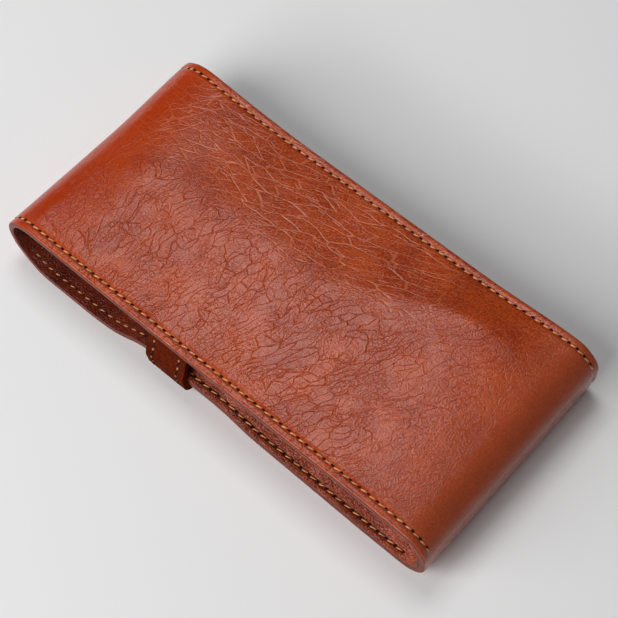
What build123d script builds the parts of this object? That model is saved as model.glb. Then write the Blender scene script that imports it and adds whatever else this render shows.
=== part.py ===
# Flat pen case with a fold-over flap held by a keeper strap.
# Millimetres. +X runs from the fold end to the bottom bend, +Z up, with the back panel on top
# and the flap underneath. The origin is below the middle, on the resting plane.
import os
from math import atan2, cos, degrees, floor, radians, sin

from build123d import *

# Overall size
length = 169.0
width = 81.0
height = 23.0
half = width / 2

# Leather thicknesses
hide = 1.4
lining = 0.9
wall = hide + lining
gusset_leather = 1.1
divider_leather = 1.0
strap_leather = 1.1

# Clearance between the flap, the strap and the front panel
slip = 0.3

# Keeper strap
strap_start = -23.0
strap_width = 15.5
strap_side_gap = 0.3
strap_corner = 3.5
strap_shoulder = 3.5
strap_tail = 5.5
strap_band = 2 * strap_leather

# Fold end
fold_radius = 10.5
fold_centre_x = -length / 2 + fold_radius
fold_centre_z = height - fold_radius
fold_case_turn = 30.0
fold_turn = 60.0

# Flap
flap_end = 0.0
flap_level = strap_band + slip
flap_sweep_turn = 180.0 - fold_case_turn - 2 * fold_turn
flap_ramp_end = -24.0
flap_ramp_run = 17.0
flap_taper = 1.3
flap_half_end = half - flap_taper
flap_taper_start = -42.0
flap_corner = 11.0
fold_reach = -length / 2 - 1

# Front panel
front_level = flap_level + wall + slip
front_mouth = -17.0
front_step_start = 1.8
front_step_run = 20.0
front_step_drop = 3.3
front_slope = 2.6
front_ease_radius = 40.0

# Bottom bend
bend_low_radius = 9.0
bend_high_radius = 9.5

# Gussets
gusset_recess = 8.5
gusset_tail_gap = 2.0
gusset_tail_x = fold_centre_x + gusset_tail_gap
gusset_mouth_top_x = -42.0

# Dividers
divider_offset = 10.3
divider_foot = 6.0
divider_mouth_x = -9.0
divider_mouth_top_x = -30.0

# Stitching
groove_width = 1.15
groove_depth = 0.45
groove_over = 0.2
stitch_long = 2.4
stitch_wide = 0.7
stitch_tall = 0.3
stitch_pitch = 3.3
stitch_slant = 6.0
edge_inset = 2.8
flange_inset = 2.2
strap_inset = 2.7
stitch_bed = 0.05
row_margin = 1.65
mouth_margin = 2.0

groove_cut = groove_depth + groove_over


# An S-shaped step is two equal arcs, given its run and drop.
def s_turn(run, drop):
    return 2 * degrees(atan2(drop, run))


def s_radius(run, drop):
    return run / 2 / sin(radians(s_turn(run, drop)))


# Steps of a path: (length,) is a straight, (radius, turn) is an arc, and a positive turn is left.
# A path at a depth runs parallel to the outer surface, on the left of the travel.
def trace(start, heading, steps, depth):
    angle = heading
    point = Vector(start[0] - sin(radians(angle)) * depth, start[1] + cos(radians(angle)) * depth)
    first = point
    for step in steps:
        aim = (cos(radians(angle)), sin(radians(angle)))
        if len(step) == 1:
            piece = Line(point, point + Vector(aim[0], aim[1]) * step[0])
        else:
            side = 1 if step[1] > 0 else -1
            piece = JernArc(start=point, tangent=aim, radius=step[0] - side * depth, arc_size=step[1])
            angle += step[1]
        point = piece @ 1
    return first, point


# Outline of a leather layer between two depths below the outer surface.
def layer(start, heading, steps, shallow, deep):
    low_first, low_last = trace(start, heading, steps, shallow)
    high_first, high_last = trace(start, heading, steps, deep)
    Line(low_first, high_first)
    Line(low_last, high_last)


# Stitch places along a path, as (point, heading), measured along the outer surface.
def spots(start, heading, steps, depth, lead, tail):
    total = 0.0
    for step in steps:
        total += step[0] if len(step) == 1 else step[0] * radians(abs(step[1]))
    count = floor((total - lead - tail) / stitch_pitch) + 1
    places = []
    for index in range(count):
        travel = lead + index * stitch_pitch
        x, z, angle = start[0], start[1], heading
        for step in steps:
            if len(step) == 1:
                span = step[0]
                part = min(span, travel)
                x += cos(radians(angle)) * part
                z += sin(radians(angle)) * part
            else:
                span = step[0] * radians(abs(step[1]))
                part = min(span, travel)
                side = 1 if step[1] > 0 else -1
                turn = side * degrees(part / step[0])
                centre_x = x - sin(radians(angle)) * step[0] * side
                centre_z = z + cos(radians(angle)) * step[0] * side
                angle += turn
                x = centre_x + sin(radians(angle)) * step[0] * side
                z = centre_z - cos(radians(angle)) * step[0] * side
            travel -= part
            if travel <= 0:
                break
        places.append((x - sin(radians(angle)) * depth, z + cos(radians(angle)) * depth, angle))
    return places


# A stitch's plane, from its place, the direction of its row and the way its face looks.
def stitch_plane(place, along, facing, lean):
    across = facing.cross(along)
    slant = along * cos(radians(lean)) + across * sin(radians(lean))
    return Plane(origin=place + facing * stitch_bed, x_dir=slant, z_dir=facing)


# Rows in the side profile, at a given y. The face is 1 for inward and -1 for outward.
def profile_planes(places, y, face, lean):
    planes = []
    for x, z, angle in places:
        along = Vector(cos(radians(angle)), 0, sin(radians(angle)))
        inside = Vector(-sin(radians(angle)), 0, cos(radians(angle)))
        planes.append(stitch_plane(Vector(x, y, z), along, inside * face, lean))
    return planes


# Rows in the strap's own profile, at a given x.
def strap_planes(places, x, lean):
    planes = []
    for y, z, angle in places:
        along = Vector(0, cos(radians(angle)), sin(radians(angle)))
        outside = Vector(0, sin(radians(angle)), -cos(radians(angle)))
        planes.append(stitch_plane(Vector(x, y, z), along, outside, lean))
    return planes


# Rows in plan, on the underside of a level face at a given z.
def plan_planes(places, z, lean):
    planes = []
    for x, y, angle in places:
        along = Vector(cos(radians(angle)), sin(radians(angle)), 0)
        planes.append(stitch_plane(Vector(x, y, z), along, Vector(0, 0, -1), lean))
    return planes


step_turn = s_turn(front_step_run, front_step_drop)
step_radius = s_radius(front_step_run, front_step_drop)
ramp_turn = s_turn(flap_ramp_run, flap_level)
ramp_radius = s_radius(flap_ramp_run, flap_level)

# Front panel: level over the flap, a step down past the flap's end, then a slight slope to the bend.
front_ease_run = front_ease_radius * sin(radians(front_slope))
front_ease_drop = front_ease_radius * (1 - cos(radians(front_slope)))
step_end_x = front_step_start + step_radius * (2 * sin(radians(step_turn)) - sin(radians(front_slope)))
step_end_z = (
    front_level
    - step_radius * (1 - cos(radians(step_turn)))
    - step_radius * (cos(radians(front_slope)) - cos(radians(step_turn)))
)
slope_length = (step_end_z - front_ease_drop) / sin(radians(front_slope))
slope_end_x = step_end_x + slope_length * cos(radians(front_slope)) + front_ease_run
bend_start_x = length / 2 - bend_low_radius
bend_top_x = length / 2 - bend_high_radius

front_start = (front_mouth, front_level)
front_steps = [
    (front_step_start - front_mouth,),
    (step_radius, -step_turn),
    (step_radius, step_turn - front_slope),
    (slope_length,),
    (front_ease_radius, front_slope),
    (bend_start_x - slope_end_x,),
]
bend_steps = [
    (bend_low_radius, 90),
    (height - bend_low_radius - bend_high_radius,),
    (bend_high_radius, 90),
]
back_steps = [(bend_top_x - fold_centre_x,), (fold_radius, fold_case_turn)]
case_steps = front_steps + bend_steps + back_steps

# The row along the back panel starts on the bottom bend.
back_row_angle = 15.0
back_row_start = (
    bend_top_x + bend_high_radius * cos(radians(back_row_angle)),
    height - bend_high_radius + bend_high_radius * sin(radians(back_row_angle)),
)
back_row_steps = [(bend_high_radius, 90 - back_row_angle)] + back_steps
back_row_heading = 90 + back_row_angle


# Fold: two links in the middle of the turn at the fold end, an upper one and a lower one.
def fold_point(angle):
    return (
        fold_centre_x + fold_radius * cos(radians(angle)),
        fold_centre_z + fold_radius * sin(radians(angle)),
    )


fold_steps = [(fold_radius, fold_turn)]
upper_angle = 90 + fold_case_turn
upper_start = fold_point(upper_angle)
upper_heading = 90 + upper_angle
lower_angle = upper_angle + fold_turn
lower_start = fold_point(lower_angle)
lower_heading = 90 + lower_angle

# Flap: a wide sweep down to the resting plane, then up over the strap.
flap_angle = lower_angle + fold_turn
flap_start = fold_point(flap_angle)
flap_heading = 90 + flap_angle
sweep_radius = flap_start[1] / (1 - cos(radians(flap_sweep_turn)))
sweep_end_x = flap_start[0] + sweep_radius * sin(radians(flap_sweep_turn))
flap_steps = [
    (sweep_radius, flap_sweep_turn),
    (flap_ramp_end - flap_ramp_run - sweep_end_x,),
    (ramp_radius, ramp_turn),
    (ramp_radius, -ramp_turn),
    (flap_end - flap_ramp_end,),
]
flap_row_y = flap_half_end - edge_inset
flap_inner_floor = wall - groove_depth
flap_inner_top = flap_inner_floor + groove_cut
flap_row_corner = flap_corner - edge_inset
flap_row_steps = flap_steps[:-1] + [(flap_end - flap_corner - flap_ramp_end,)]

# The row round the flap's end, in plan: two corners and a straight between them.
flap_turn_start = (flap_end - flap_corner, -flap_row_y)
flap_turn_steps = [
    (flap_row_corner, 90),
    (2 * (flap_half_end - flap_corner),),
    (flap_row_corner, 90),
]

# Outer hide of the case: front panel, bottom bend and back panel in one piece.
with BuildPart() as outer_shell:
    with BuildSketch(Plane.XZ):
        with BuildLine():
            layer(front_start, 0, case_steps, 0, hide)
        make_face()
    extrude(amount=half, both=True)
    for side in (-1, 1):
        with BuildSketch(Plane.XZ.offset(side * (half - edge_inset))):
            with BuildLine():
                layer(back_row_start, back_row_heading, back_row_steps, -groove_over, groove_depth)
            make_face()
        extrude(amount=groove_width / 2, both=True, mode=Mode.SUBTRACT)
        with BuildSketch(Plane.XZ.offset(side * (half - flange_inset))):
            with BuildLine():
                layer(front_start, 0, front_steps, -groove_over, groove_depth)
            make_face()
        extrude(amount=groove_width / 2, both=True, mode=Mode.SUBTRACT)

# Lining glued to the inside of the outer hide.
with BuildPart() as shell_lining:
    with BuildSketch(Plane.XZ):
        with BuildLine():
            layer(front_start, 0, case_steps, hide, wall)
        make_face()
    extrude(amount=half, both=True)

# Gussets: channels whose flanges follow the lining from the back panel round to the front mouth.
gusset_steps = front_steps + bend_steps + [(bend_top_x - gusset_tail_x,)]
web_steps = front_steps + bend_steps + [(bend_top_x - gusset_mouth_top_x,)]
web_face = half - gusset_recess
flange_floor = wall + gusset_leather - groove_depth

with BuildPart() as gusset_left:
    with BuildSketch(Plane.XZ.offset(half)):
        with BuildLine():
            layer(front_start, 0, gusset_steps, wall, wall + gusset_leather)
        make_face()
    extrude(amount=-gusset_recess)
    with BuildSketch(Plane.XZ.offset(web_face)):
        with BuildLine():
            web_first, web_last = trace(front_start, 0, web_steps, wall)
            Line(web_first, web_last)
        make_face()
    extrude(amount=-gusset_leather)
    with BuildSketch(Plane.XZ.offset(half - flange_inset)):
        with BuildLine():
            layer(front_start, 0, front_steps, flange_floor, flange_floor + groove_cut)
        make_face()
    extrude(amount=groove_width / 2, both=True, mode=Mode.SUBTRACT)

with BuildPart() as gusset_right:
    with BuildSketch(Plane.XZ.offset(-half)):
        with BuildLine():
            layer(front_start, 0, gusset_steps, wall, wall + gusset_leather)
        make_face()
    extrude(amount=gusset_recess)
    with BuildSketch(Plane.XZ.offset(-web_face)):
        with BuildLine():
            web_first, web_last = trace(front_start, 0, web_steps, wall)
            Line(web_first, web_last)
        make_face()
    extrude(amount=gusset_leather)
    with BuildSketch(Plane.XZ.offset(-(half - flange_inset))):
        with BuildLine():
            layer(front_start, 0, front_steps, flange_floor, flange_floor + groove_cut)
        make_face()
    extrude(amount=groove_width / 2, both=True, mode=Mode.SUBTRACT)

# Dividers: thin channels between the pen slots, each with a foot sewn to the lining.
divider_start = (divider_mouth_x, front_level)
divider_front = [(front_step_start - divider_mouth_x,)] + front_steps[1:]
divider_steps = divider_front + bend_steps + [(bend_top_x - divider_mouth_top_x,)]
divider_row_y = divider_offset + divider_foot / 2
divider_floor = wall + divider_leather - groove_depth

with BuildPart() as divider_left:
    with BuildSketch(Plane.XZ.offset(divider_offset + divider_foot)):
        with BuildLine():
            layer(divider_start, 0, divider_steps, wall, wall + divider_leather)
        make_face()
    extrude(amount=-divider_foot)
    with BuildSketch(Plane.XZ.offset(divider_offset)):
        with BuildLine():
            web_first, web_last = trace(divider_start, 0, divider_steps, wall)
            Line(web_first, web_last)
        make_face()
    extrude(amount=-divider_leather)
    with BuildSketch(Plane.XZ.offset(divider_row_y)):
        with BuildLine():
            layer(divider_start, 0, divider_front, divider_floor, divider_floor + groove_cut)
        make_face()
    extrude(amount=groove_width / 2, both=True, mode=Mode.SUBTRACT)

with BuildPart() as divider_right:
    with BuildSketch(Plane.XZ.offset(-divider_offset - divider_foot)):
        with BuildLine():
            layer(divider_start, 0, divider_steps, wall, wall + divider_leather)
        make_face()
    extrude(amount=divider_foot)
    with BuildSketch(Plane.XZ.offset(-divider_offset)):
        with BuildLine():
            web_first, web_last = trace(divider_start, 0, divider_steps, wall)
            Line(web_first, web_last)
        make_face()
    extrude(amount=divider_leather)
    with BuildSketch(Plane.XZ.offset(-divider_row_y)):
        with BuildLine():
            layer(divider_start, 0, divider_front, divider_floor, divider_floor + groove_cut)
        make_face()
    extrude(amount=groove_width / 2, both=True, mode=Mode.SUBTRACT)

# Keeper strap: from under the back panel's edges down both sides and across under the flap.
strap_half = half + strap_side_gap + strap_band
strap_tail_z = height - wall - gusset_leather
strap_steps = [
    (strap_half - strap_corner,),
    (strap_corner, 90),
    (strap_tail_z - strap_corner - strap_shoulder,),
    (strap_shoulder, 90),
    (strap_tail,),
]

with BuildPart() as strap_outer:
    with BuildSketch(Plane.YZ.offset(strap_start)):
        with BuildLine():
            layer((0, 0), 0, strap_steps, 0, strap_leather)
        make_face()
        mirror(about=Plane.YZ)
    extrude(amount=strap_width)
    for inset in (strap_inset, strap_width - strap_inset):
        with BuildSketch(Plane.YZ.offset(strap_start + inset)):
            with BuildLine():
                layer((0, 0), 0, strap_steps[:4], -groove_over, groove_depth)
            make_face()
            mirror(about=Plane.YZ)
        extrude(amount=groove_width / 2, both=True, mode=Mode.SUBTRACT)

with BuildPart() as strap_lining:
    with BuildSketch(Plane.YZ.offset(strap_start)):
        with BuildLine():
            layer((0, 0), 0, strap_steps, strap_leather, strap_band)
        make_face()
        mirror(about=Plane.YZ)
    extrude(amount=strap_width)

# Fold links, each with its lining.
with BuildPart() as fold_upper_outer:
    with BuildSketch(Plane.XZ):
        with BuildLine():
            layer(upper_start, upper_heading, fold_steps, 0, hide)
        make_face()
    extrude(amount=half, both=True)
    for side in (-1, 1):
        with BuildSketch(Plane.XZ.offset(side * (half - edge_inset))):
            with BuildLine():
                layer(upper_start, upper_heading, fold_steps, -groove_over, groove_depth)
            make_face()
        extrude(amount=groove_width / 2, both=True, mode=Mode.SUBTRACT)

with BuildPart() as fold_upper_lining:
    with BuildSketch(Plane.XZ):
        with BuildLine():
            layer(upper_start, upper_heading, fold_steps, hide, wall)
        make_face()
    extrude(amount=half, both=True)

with BuildPart() as fold_lower_outer:
    with BuildSketch(Plane.XZ):
        with BuildLine():
            layer(lower_start, lower_heading, fold_steps, 0, hide)
        make_face()
    extrude(amount=half, both=True)
    for side in (-1, 1):
        with BuildSketch(Plane.XZ.offset(side * (half - edge_inset))):
            with BuildLine():
                layer(lower_start, lower_heading, fold_steps, -groove_over, groove_depth)
            make_face()
        extrude(amount=groove_width / 2, both=True, mode=Mode.SUBTRACT)

with BuildPart() as fold_lower_lining:
    with BuildSketch(Plane.XZ):
        with BuildLine():
            layer(lower_start, lower_heading, fold_steps, hide, wall)
        make_face()
    extrude(amount=half, both=True)

# Flap, trimmed to a slight taper and rounded corners at its end.
flap_plan = [
    (fold_reach, -half),
    (flap_taper_start, -half),
    (flap_ramp_end, -flap_half_end),
    (flap_end, -flap_half_end),
    (flap_end, flap_half_end),
    (flap_ramp_end, flap_half_end),
    (flap_taper_start, half),
    (fold_reach, half),
]

with BuildPart() as flap_outer:
    with BuildSketch(Plane.XZ):
        with BuildLine():
            layer(flap_start, flap_heading, flap_steps, 0, hide)
        make_face()
    extrude(amount=half, both=True)
    for side in (-1, 1):
        with BuildSketch(Plane.XZ.offset(side * flap_row_y)):
            with BuildLine():
                layer(flap_start, flap_heading, flap_row_steps, -groove_over, groove_depth)
            make_face()
        extrude(amount=groove_width / 2, both=True, mode=Mode.SUBTRACT)
    with BuildSketch(Plane.XY.offset(flap_level)):
        with BuildLine():
            layer(flap_turn_start, 0, flap_turn_steps, -groove_width / 2, groove_width / 2)
        make_face()
    extrude(amount=groove_depth, mode=Mode.SUBTRACT)
    with BuildSketch(Plane.XY):
        with BuildLine():
            Polyline(*flap_plan, close=True)
        make_face()
        fillet(vertices().group_by(Axis.X)[-1], radius=flap_corner)
    extrude(amount=height, mode=Mode.INTERSECT)

with BuildPart() as flap_lining:
    with BuildSketch(Plane.XZ):
        with BuildLine():
            layer(flap_start, flap_heading, flap_steps, hide, wall)
        make_face()
    extrude(amount=half, both=True)
    for side in (-1, 1):
        with BuildSketch(Plane.XZ.offset(side * flap_row_y)):
            with BuildLine():
                layer(flap_start, flap_heading, flap_row_steps, flap_inner_floor, flap_inner_top)
            make_face()
        extrude(amount=groove_width / 2, both=True, mode=Mode.SUBTRACT)
    with BuildSketch(Plane.XY):
        with BuildLine():
            Polyline(*flap_plan, close=True)
        make_face()
        fillet(vertices().group_by(Axis.X)[-1], radius=flap_corner)
    extrude(amount=height, mode=Mode.INTERSECT)

# Stitch rows. Each row is a node of separate stitches that lie in its groove.
back_places = spots(back_row_start, back_row_heading, back_row_steps, groove_depth, row_margin, row_margin)
front_places = spots(front_start, 0, front_steps, groove_depth, mouth_margin, row_margin)
flange_places = spots(front_start, 0, front_steps, flange_floor, mouth_margin, row_margin)
divider_places = spots(divider_start, 0, divider_front, divider_floor, mouth_margin, row_margin)
upper_places = spots(upper_start, upper_heading, fold_steps, groove_depth, row_margin, row_margin)
lower_places = spots(lower_start, lower_heading, fold_steps, groove_depth, row_margin, row_margin)
flap_places = spots(flap_start, flap_heading, flap_row_steps, groove_depth, row_margin, row_margin)
flap_inner_places = spots(flap_start, flap_heading, flap_row_steps, flap_inner_floor, row_margin, row_margin)
flap_turn_places = spots(flap_turn_start, 0, flap_turn_steps, 0, row_margin, row_margin)
strap_base_places = spots((0, 0), 0, strap_steps[:1], groove_depth, row_margin, row_margin)
strap_side_start = (strap_half, strap_corner)
strap_side_places = spots(strap_side_start, 90, strap_steps[2:3], groove_depth, row_margin, row_margin)

with BuildPart() as back_seam_left:
    with BuildSketch(*profile_planes(back_places, -(half - edge_inset), -1, stitch_slant)):
        SlotOverall(stitch_long, stitch_wide)
    extrude(amount=stitch_tall)

with BuildPart() as back_seam_right:
    with BuildSketch(*profile_planes(back_places, half - edge_inset, -1, stitch_slant)):
        SlotOverall(stitch_long, stitch_wide)
    extrude(amount=stitch_tall)

with BuildPart() as front_seam_left:
    with BuildSketch(*profile_planes(front_places, -(half - flange_inset), -1, stitch_slant)):
        SlotOverall(stitch_long, stitch_wide)
    extrude(amount=stitch_tall)

with BuildPart() as front_seam_right:
    with BuildSketch(*profile_planes(front_places, half - flange_inset, -1, stitch_slant)):
        SlotOverall(stitch_long, stitch_wide)
    extrude(amount=stitch_tall)

with BuildPart() as gusset_seam_left:
    with BuildSketch(*profile_planes(flange_places, -(half - flange_inset), 1, stitch_slant)):
        SlotOverall(stitch_long, stitch_wide)
    extrude(amount=stitch_tall)

with BuildPart() as gusset_seam_right:
    with BuildSketch(*profile_planes(flange_places, half - flange_inset, 1, stitch_slant)):
        SlotOverall(stitch_long, stitch_wide)
    extrude(amount=stitch_tall)

with BuildPart() as divider_seam_left:
    with BuildSketch(*profile_planes(divider_places, -divider_row_y, 1, stitch_slant)):
        SlotOverall(stitch_long, stitch_wide)
    extrude(amount=stitch_tall)

with BuildPart() as divider_seam_right:
    with BuildSketch(*profile_planes(divider_places, divider_row_y, 1, stitch_slant)):
        SlotOverall(stitch_long, stitch_wide)
    extrude(amount=stitch_tall)

with BuildPart() as fold_upper_seam:
    with BuildSketch(
        *profile_planes(upper_places, -(half - edge_inset), -1, stitch_slant),
        *profile_planes(upper_places, half - edge_inset, -1, stitch_slant),
    ):
        SlotOverall(stitch_long, stitch_wide)
    extrude(amount=stitch_tall)

with BuildPart() as fold_lower_seam:
    with BuildSketch(
        *profile_planes(lower_places, -(half - edge_inset), -1, stitch_slant),
        *profile_planes(lower_places, half - edge_inset, -1, stitch_slant),
    ):
        SlotOverall(stitch_long, stitch_wide)
    extrude(amount=stitch_tall)

with BuildPart() as flap_seam_outer:
    with BuildSketch(
        *profile_planes(flap_places, -flap_row_y, -1, stitch_slant),
        *profile_planes(flap_places, flap_row_y, -1, stitch_slant),
        *plan_planes(flap_turn_places, flap_level + groove_depth, stitch_slant),
    ):
        SlotOverall(stitch_long, stitch_wide)
    extrude(amount=stitch_tall)

with BuildPart() as flap_seam_inner:
    with BuildSketch(
        *profile_planes(flap_inner_places, -flap_row_y, 1, stitch_slant),
        *profile_planes(flap_inner_places, flap_row_y, 1, stitch_slant),
    ):
        SlotOverall(stitch_long, stitch_wide)
    extrude(amount=stitch_tall)

with BuildPart() as strap_seam_first:
    with BuildSketch(
        *strap_planes(strap_base_places, strap_start + strap_inset, stitch_slant),
        *strap_planes(strap_side_places, strap_start + strap_inset, stitch_slant),
    ):
        SlotOverall(stitch_long, stitch_wide)
    extrude(amount=stitch_tall)
    mirror(about=Plane.XZ)

with BuildPart() as strap_seam_second:
    with BuildSketch(
        *strap_planes(strap_base_places, strap_start + strap_width - strap_inset, stitch_slant),
        *strap_planes(strap_side_places, strap_start + strap_width - strap_inset, stitch_slant),
    ):
        SlotOverall(stitch_long, stitch_wide)
    extrude(amount=stitch_tall)
    mirror(about=Plane.XZ)

os.makedirs("parts", exist_ok=True)

outer_shell.part.label = "outer_shell"
export_step(outer_shell.part, "parts/outer_shell.step")
shell_lining.part.label = "shell_lining"
export_step(shell_lining.part, "parts/shell_lining.step")
gusset_left.part.label = "gusset_left"
export_step(gusset_left.part, "parts/gusset_left.step")
gusset_right.part.label = "gusset_right"
export_step(gusset_right.part, "parts/gusset_right.step")
divider_left.part.label = "divider_left"
export_step(divider_left.part, "parts/divider_left.step")
divider_right.part.label = "divider_right"
export_step(divider_right.part, "parts/divider_right.step")
strap_outer.part.label = "strap_outer"
export_step(strap_outer.part, "parts/strap_outer.step")
strap_lining.part.label = "strap_lining"
export_step(strap_lining.part, "parts/strap_lining.step")
fold_upper_outer.part.label = "fold_upper_outer"
export_step(fold_upper_outer.part, "parts/fold_upper_outer.step")
fold_upper_lining.part.label = "fold_upper_lining"
export_step(fold_upper_lining.part, "parts/fold_upper_lining.step")
fold_lower_outer.part.label = "fold_lower_outer"
export_step(fold_lower_outer.part, "parts/fold_lower_outer.step")
fold_lower_lining.part.label = "fold_lower_lining"
export_step(fold_lower_lining.part, "parts/fold_lower_lining.step")
flap_outer.part.label = "flap_outer"
export_step(flap_outer.part, "parts/flap_outer.step")
flap_lining.part.label = "flap_lining"
export_step(flap_lining.part, "parts/flap_lining.step")
back_seam_left.part.label = "back_seam_left"
export_step(back_seam_left.part, "parts/back_seam_left.step")
back_seam_right.part.label = "back_seam_right"
export_step(back_seam_right.part, "parts/back_seam_right.step")
front_seam_left.part.label = "front_seam_left"
export_step(front_seam_left.part, "parts/front_seam_left.step")
front_seam_right.part.label = "front_seam_right"
export_step(front_seam_right.part, "parts/front_seam_right.step")
gusset_seam_left.part.label = "gusset_seam_left"
export_step(gusset_seam_left.part, "parts/gusset_seam_left.step")
gusset_seam_right.part.label = "gusset_seam_right"
export_step(gusset_seam_right.part, "parts/gusset_seam_right.step")
divider_seam_left.part.label = "divider_seam_left"
export_step(divider_seam_left.part, "parts/divider_seam_left.step")
divider_seam_right.part.label = "divider_seam_right"
export_step(divider_seam_right.part, "parts/divider_seam_right.step")
strap_seam_first.part.label = "strap_seam_first"
export_step(strap_seam_first.part, "parts/strap_seam_first.step")
strap_seam_second.part.label = "strap_seam_second"
export_step(strap_seam_second.part, "parts/strap_seam_second.step")
fold_upper_seam.part.label = "fold_upper_seam"
export_step(fold_upper_seam.part, "parts/fold_upper_seam.step")
fold_lower_seam.part.label = "fold_lower_seam"
export_step(fold_lower_seam.part, "parts/fold_lower_seam.step")
flap_seam_outer.part.label = "flap_seam_outer"
export_step(flap_seam_outer.part, "parts/flap_seam_outer.step")
flap_seam_inner.part.label = "flap_seam_inner"
export_step(flap_seam_inner.part, "parts/flap_seam_inner.step")
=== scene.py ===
import math
from math import atan2, cos, degrees, radians, sin

import bpy
from mathutils import Matrix, Vector, noise


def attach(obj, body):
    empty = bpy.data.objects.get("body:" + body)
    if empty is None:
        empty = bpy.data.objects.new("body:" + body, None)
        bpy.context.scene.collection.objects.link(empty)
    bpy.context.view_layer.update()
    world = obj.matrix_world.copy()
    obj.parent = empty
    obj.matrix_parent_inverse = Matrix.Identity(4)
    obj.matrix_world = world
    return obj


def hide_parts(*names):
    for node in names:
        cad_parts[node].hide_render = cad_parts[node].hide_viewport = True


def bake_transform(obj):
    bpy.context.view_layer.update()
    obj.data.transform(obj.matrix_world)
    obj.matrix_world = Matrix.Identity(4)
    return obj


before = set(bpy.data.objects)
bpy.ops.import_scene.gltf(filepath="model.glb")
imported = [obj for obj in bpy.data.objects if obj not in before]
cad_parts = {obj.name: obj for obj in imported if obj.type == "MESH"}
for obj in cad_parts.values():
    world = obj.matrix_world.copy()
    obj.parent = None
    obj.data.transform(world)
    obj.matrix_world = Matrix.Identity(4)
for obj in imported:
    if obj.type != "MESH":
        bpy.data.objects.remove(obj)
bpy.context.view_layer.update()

mm = 0.001

# The case's own sizes, in millimetres, as in the solids
caseSize = {
    "length": 169.0,
    "width": 81.0,
    "height": 23.0,
    "hide": 1.4,
    "lining": 0.9,
    "gussetLeather": 1.1,
    "foldRadius": 10.5,
    "strapBand": 2.2,
    "slip": 0.3,
}
half = caseSize["width"] / 2
wall = caseSize["hide"] + caseSize["lining"]
foldRadius = caseSize["foldRadius"]
foldX = -caseSize["length"] / 2 + foldRadius
foldZ = caseSize["height"] - foldRadius
flapLevel = caseSize["strapBand"] + caseSize["slip"]
frontLevel = flapLevel + wall + caseSize["slip"]
middleZ = 12.5      # the front panel and the flap lie below, the back panel above


# Paths in the side profile: (length,) is a straight, (radius, turn) is an arc, a positive turn is left
def sTurn(run, drop):
    return 2 * degrees(atan2(drop, run))


def sRadius(run, drop):
    return run / 2 / sin(radians(sTurn(run, drop)))


def alongPath(path, travel):
    x, z, angle, steps = path
    for step in steps:
        if len(step) == 1:
            part = min(step[0], travel)
            x += cos(radians(angle)) * part
            z += sin(radians(angle)) * part
        else:
            part = min(step[0] * radians(abs(step[1])), travel)
            side = 1 if step[1] > 0 else -1
            cx = x - sin(radians(angle)) * step[0] * side
            cz = z + cos(radians(angle)) * step[0] * side
            angle += side * degrees(part / step[0])
            x = cx + sin(radians(angle)) * step[0] * side
            z = cz - cos(radians(angle)) * step[0] * side
        travel -= part
        if travel <= 1e-9:
            break
    return x, z, angle


def pathLength(steps):
    return sum(s[0] if len(s) == 1 else s[0] * radians(abs(s[1])) for s in steps)


frontShape = {
    "mouth": -17.0, "stepStart": 1.8, "stepRun": 20.0, "stepDrop": 3.3, "slope": 2.6, "easeRadius": 40.0,
}
bendShape = {"low": 9.0, "high": 9.5}
flapShape = {
    "rampEnd": -24.0, "rampRun": 17.0, "end": 0.0, "lastBit": 2.0, "halfEnd": 39.2, "corner": 11.0,
    "flare": 0.9, "flareX": (-84.0, -70.0, -50.0, -30.0), "taperX": (-42.0, -24.0),
}

stepTurn = sTurn(frontShape["stepRun"], frontShape["stepDrop"])
stepRadius = sRadius(frontShape["stepRun"], frontShape["stepDrop"])
slope = frontShape["slope"]
easeRun = frontShape["easeRadius"] * sin(radians(slope))
easeDrop = frontShape["easeRadius"] * (1 - cos(radians(slope)))
stepEndX = frontShape["stepStart"] + stepRadius * (2 * sin(radians(stepTurn)) - sin(radians(slope)))
stepEndZ = frontLevel - stepRadius * (1 - 2 * cos(radians(stepTurn)) + cos(radians(slope)))
slopeLength = (stepEndZ - easeDrop) / sin(radians(slope))
slopeEndX = stepEndX + slopeLength * cos(radians(slope)) + easeRun
bendLowX = caseSize["length"] / 2 - bendShape["low"]
bendHighX = caseSize["length"] / 2 - bendShape["high"]
topLength = bendHighX - foldX

frontSteps = [
    (frontShape["stepStart"] - frontShape["mouth"],),
    (stepRadius, -stepTurn),
    (stepRadius, stepTurn - slope),
    (slopeLength,),
    (frontShape["easeRadius"], slope),
    (bendLowX - slopeEndX,),
]
bendSteps = [
    (bendShape["low"], 90),
    (caseSize["height"] - bendShape["low"] - bendShape["high"],),
    (bendShape["high"], 90),
]

# Three hinges of one turn each go round the fold end, and the flap sweeps on to the floor
hingeTurn = 60
sweepTurn = 30
foldTop = 90
upperEnd = foldTop + hingeTurn
lowerEnd = upperEnd + hingeTurn
flapEnd = lowerEnd + hingeTurn
hair = 0.6      # a fine last row keeps the shading even where two pieces meet


def onFold(angle):
    return foldX + foldRadius * cos(radians(angle)), foldZ + foldRadius * sin(radians(angle))


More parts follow.
